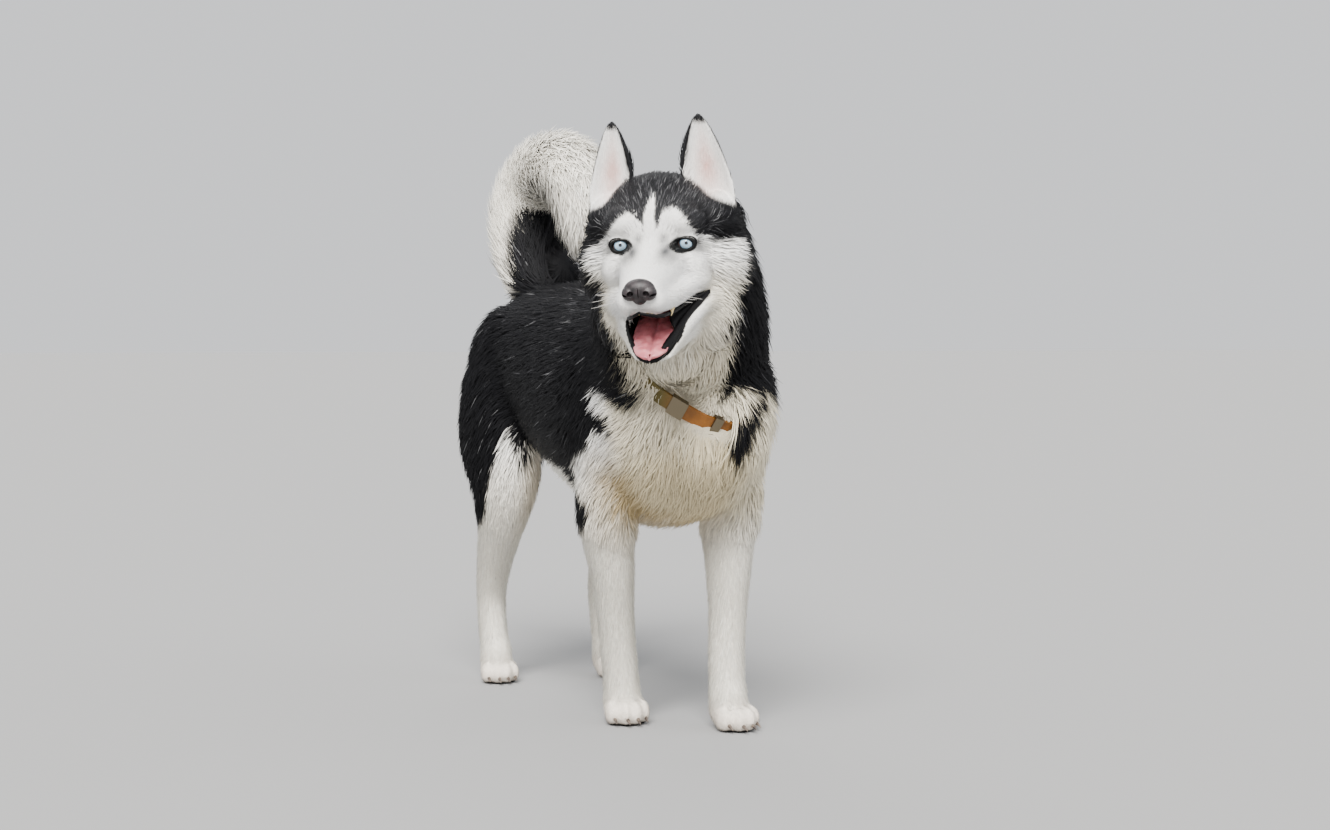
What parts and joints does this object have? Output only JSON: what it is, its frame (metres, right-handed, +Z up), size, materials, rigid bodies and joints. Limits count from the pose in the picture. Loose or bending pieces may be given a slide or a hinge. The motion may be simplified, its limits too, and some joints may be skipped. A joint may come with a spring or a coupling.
{
  "type": "siberian husky",
  "caption": "Still life-size Siberian husky standing alert, head turned, mouth open, tail curled over its back, wearing a leather collar.",
  "frame": {"origin": "bottom centre of the bounding box, on the floor under the dog", "axes": "+Z up, the dog faces -Y and its left side is +X; the head turns to its right, -X"},
  "size_m": [0.3476, 0.9066, 0.8074],
  "materials": {
    "black_coat": "dense black fur with a grey sheen",
    "white_coat": "dense white fur",
    "cream_coat": "white to cream fur",
    "nose_leather": "moist dark nose skin",
    "eye": "pale blue iris under a clear gloss",
    "tongue": "moist pink",
    "collar_leather": "worn waxed leather",
    "collar_metal": "polished steel"
  },
  "bodies": {
    "root": {"head": "white_coat", "jaw": "white_coat", "nose": "nose_leather", "tongue": "tongue", "ear_left": "black_coat", "ear_right": "black_coat", "eye_left": "eye", "eye_right": "eye", "neck": "black_coat", "torso": "black_coat", "tail_root": "black_coat", "tail_middle": "white_coat", "tail_tip": "white_coat", "fore_leg_left": "cream_coat", "fore_leg_right": "cream_coat", "hind_leg_left": "cream_coat", "hock_left": "cream_coat", "hind_leg_right": "cream_coat", "hock_right": "cream_coat", "fore_paw_left": "cream_coat", "fore_paw_right": "cream_coat", "hind_paw_left": "cream_coat", "hind_paw_right": "cream_coat", "collar_strap": "collar_leather", "collar_keeper": "collar_metal", "collar_ring": "collar_metal"}
  },
  "joints": []
}
